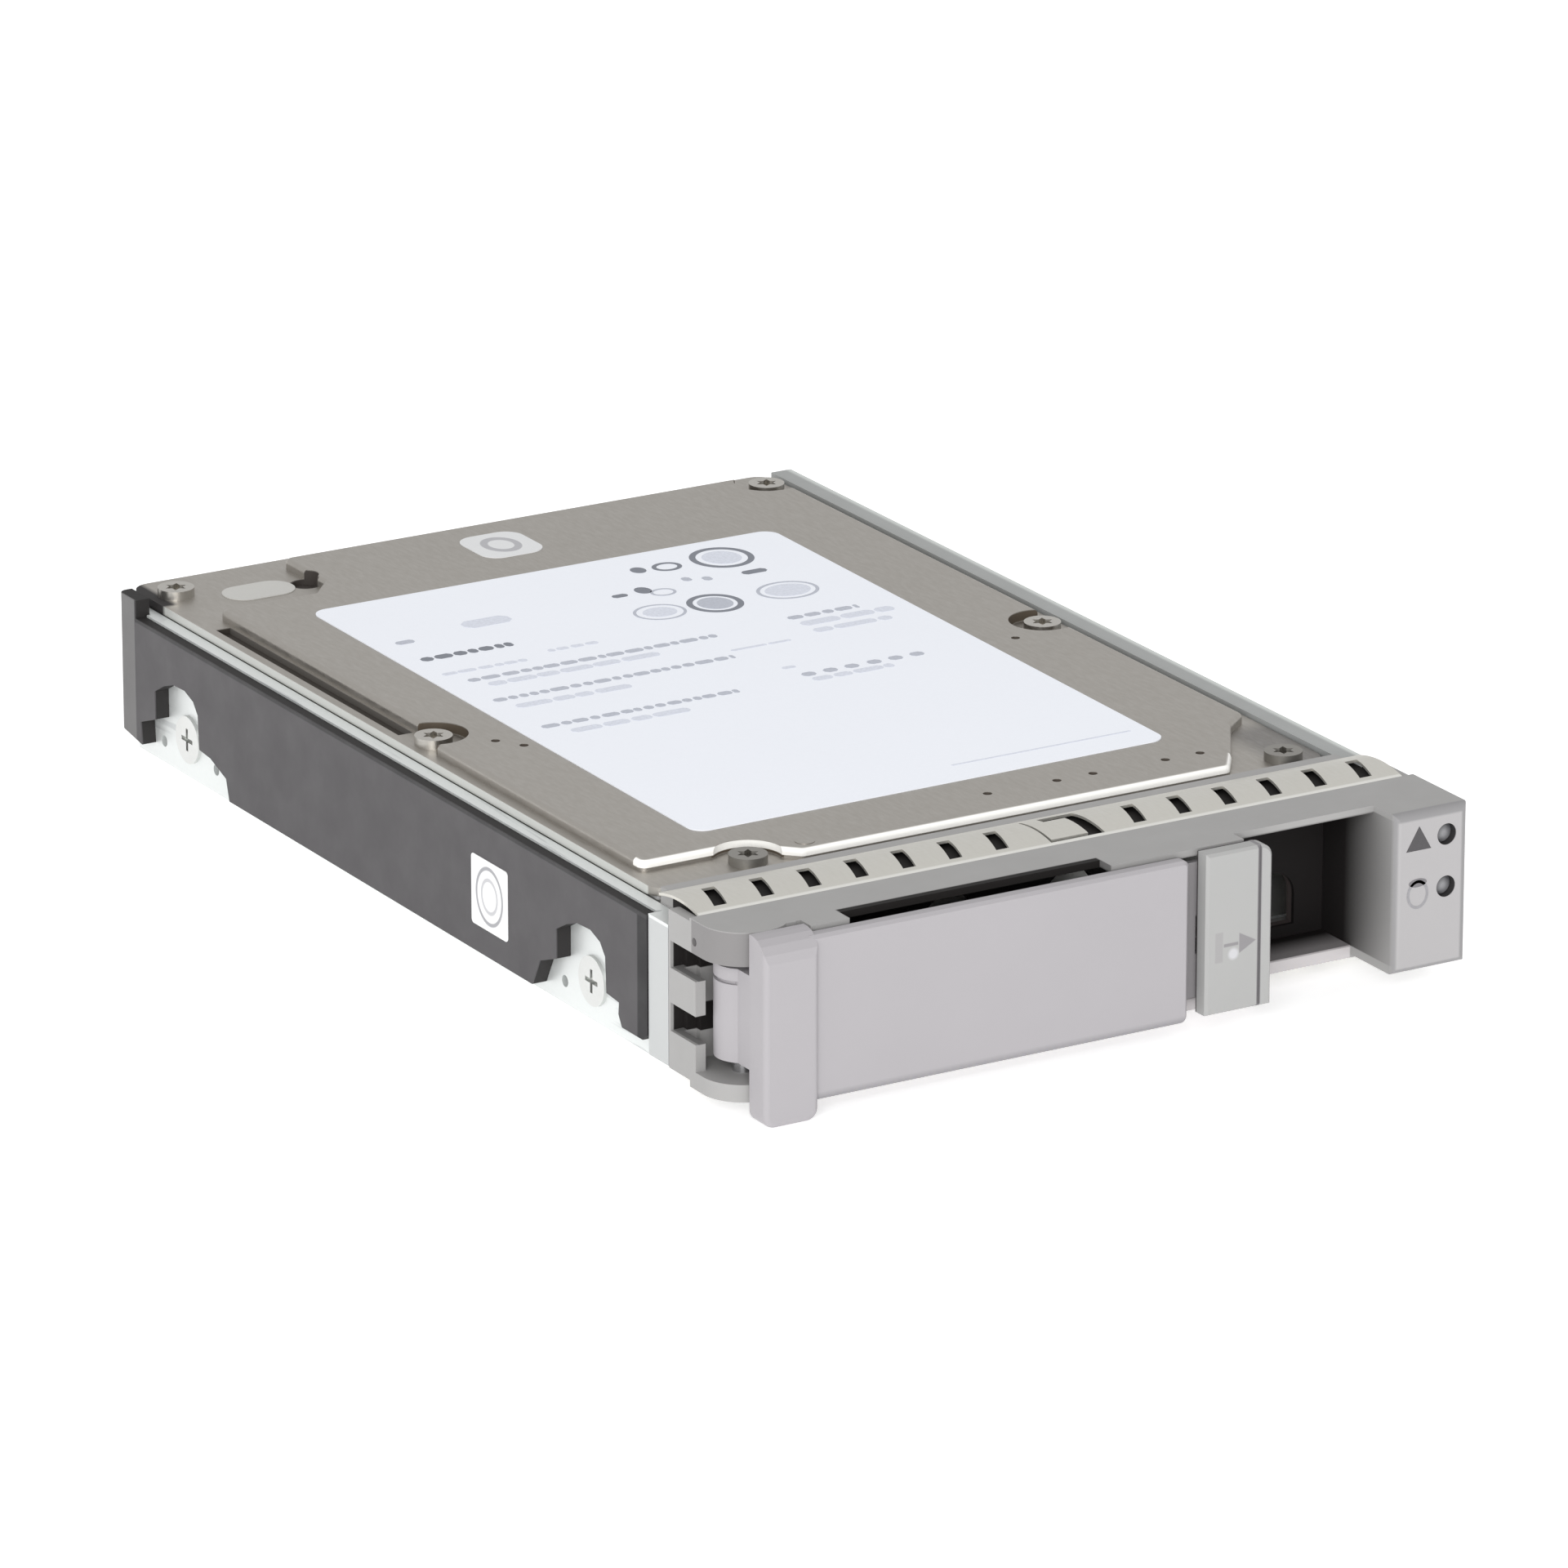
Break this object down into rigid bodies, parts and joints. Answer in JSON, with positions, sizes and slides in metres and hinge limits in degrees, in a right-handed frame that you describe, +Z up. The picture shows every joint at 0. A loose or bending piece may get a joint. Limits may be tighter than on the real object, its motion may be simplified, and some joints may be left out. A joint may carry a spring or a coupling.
{
  "type": "hard disk drive in hot-swap carrier",
  "caption": "2.5-inch server hard disk drive in a hot-swap carrier with a swing-out ejector lever, release button and indicator lenses.",
  "frame": {"origin": "on the floor below the middle of the whole assembly's box, lever closed", "axes": "+X across the front to the indicator lenses, +Y from the lever to the rear connector, +Z up through the drive's cover"},
  "size_m": [0.0749, 0.119, 0.0174],
  "materials": {
    "cast_alloy": "bead-blasted die casting",
    "cover_steel": "satin stainless sheet, warm grey",
    "screw_steel": "satin",
    "gasket_rubber": "matte",
    "label_paper": "coated paper",
    "seal_foil": "foil patch",
    "bearing_steel": "ground",
    "lamination_steel": "stamped lamination",
    "copper_winding": "enamelled copper",
    "magnet_nickel": "nickel plated",
    "disk_mirror": "polished",
    "machined_aluminium": "machined",
    "flexure_steel": "thin sheet",
    "slider_ceramic": "polished",
    "ramp_plastic": "natural polymer",
    "flex_film": "polyimide film",
    "filter_felt": "nonwoven felt",
    "board_green": "solder mask",
    "chip_black": "moulded package",
    "solder_tin": "tinned",
    "gold_contact": "gold flash",
    "foam_grey": "soft foam",
    "connector_black": "moulded",
    "tray_steel": "zinc plated sheet",
    "rail_dark": "fine moulded texture",
    "rail_grey": "fine moulded texture",
    "bezel_grey": "fine moulded texture",
    "lever_grey": "fine moulded texture",
    "clear_plastic": "clear moulded",
    "contact_alloy": "tin plated spring strip"
  },
  "bodies": {
    "carrier": {"actuator_flex": "flex_film", "actuator_latch": "ramp_plastic", "bezel_frame": "bezel_grey", "bezel_rivets": "screw_steel", "board_chips": "chip_black", "board_insulator": "foam_grey", "board_passives": "solder_tin", "board_screws": "screw_steel", "board_test_pads": "gold_contact", "breather_filter": "filter_felt", "carrier_tray": "tray_steel", "circuit_board": "board_green", "connector_contacts": "gold_contact", "contact_strip_bottom": "contact_alloy", "contact_strip_top": "contact_alloy", "corner_seal": "seal_foil", "cover_gasket": "gasket_rubber", "cover_screws": "screw_steel", "cover_sticker": "label_paper", "crash_stops": "gasket_rubber", "drive_base": "cast_alloy", "drive_label": "label_paper", "flex_bracket": "ramp_plastic", "left_rail_cover": "rail_dark", "lever_pin": "bearing_steel", "lever_spring": "screw_steel", "light_pipes": "clear_plastic", "load_ramp": "ramp_plastic", "lower_yoke": "lamination_steel", "mounting_screws": "screw_steel", "pivot_shaft": "bearing_steel", "rail_sticker": "label_paper", "rear_connector": "connector_black", "recirculation_filter": "filter_felt", "right_rail_cover": "rail_grey", "spindle_shaft": "bearing_steel", "stator_coils": "copper_winding", "stator_core": "lamination_steel", "top_cover": "cover_steel", "upper_yoke": "lamination_steel", "voice_coil_magnets": "magnet_nickel"},
    "lever": {"ejector_lever": "lever_grey", "button_spring": "screw_steel"},
    "button": {"release_button": "lever_grey"},
    "spindle": {"rotor_magnet": "magnet_nickel", "spindle_hub": "machined_aluminium", "platter_lower": "disk_mirror", "platter_middle": "disk_mirror", "platter_upper": "disk_mirror", "spacer_rings": "machined_aluminium", "disk_clamp": "machined_aluminium", "clamp_screws": "screw_steel"},
    "actuator": {"actuator_arms": "machined_aluminium", "voice_coil": "copper_winding", "pivot_bearing": "bearing_steel", "head_suspensions": "flexure_steel", "head_sliders": "slider_ceramic"}
  },
  "joints": [
    {"name": "lever_hinge", "type": "hinge", "parent": "carrier", "child": "lever", "pos_m": [-0.0333, -0.0525, 0.009], "axis": [0, 0, -1], "range_deg": [0, 70], "stiffness_Nm_per_rad": 0.002, "springref_deg": 68.75, "deforming": ["lever_spring"]},
    {"name": "button_slide", "type": "slide", "parent": "lever", "child": "button", "axis": [-1, 0, 0], "range_m": [0, 0.001], "stiffness_N_per_m": 300, "springref_m": -0.001, "deforming": ["button_spring"]},
    {"name": "spindle_spin", "type": "hinge", "parent": "carrier", "child": "spindle", "pos_m": [0, -0.00607, 0.01], "axis": [0, 0, 1], "continuous": true},
    {"name": "actuator_swing", "type": "hinge", "parent": "carrier", "child": "actuator", "pos_m": [0.009, 0.0365, 0.011], "axis": [0, 0, 1], "range_deg": [0, 31]}
  ]
}
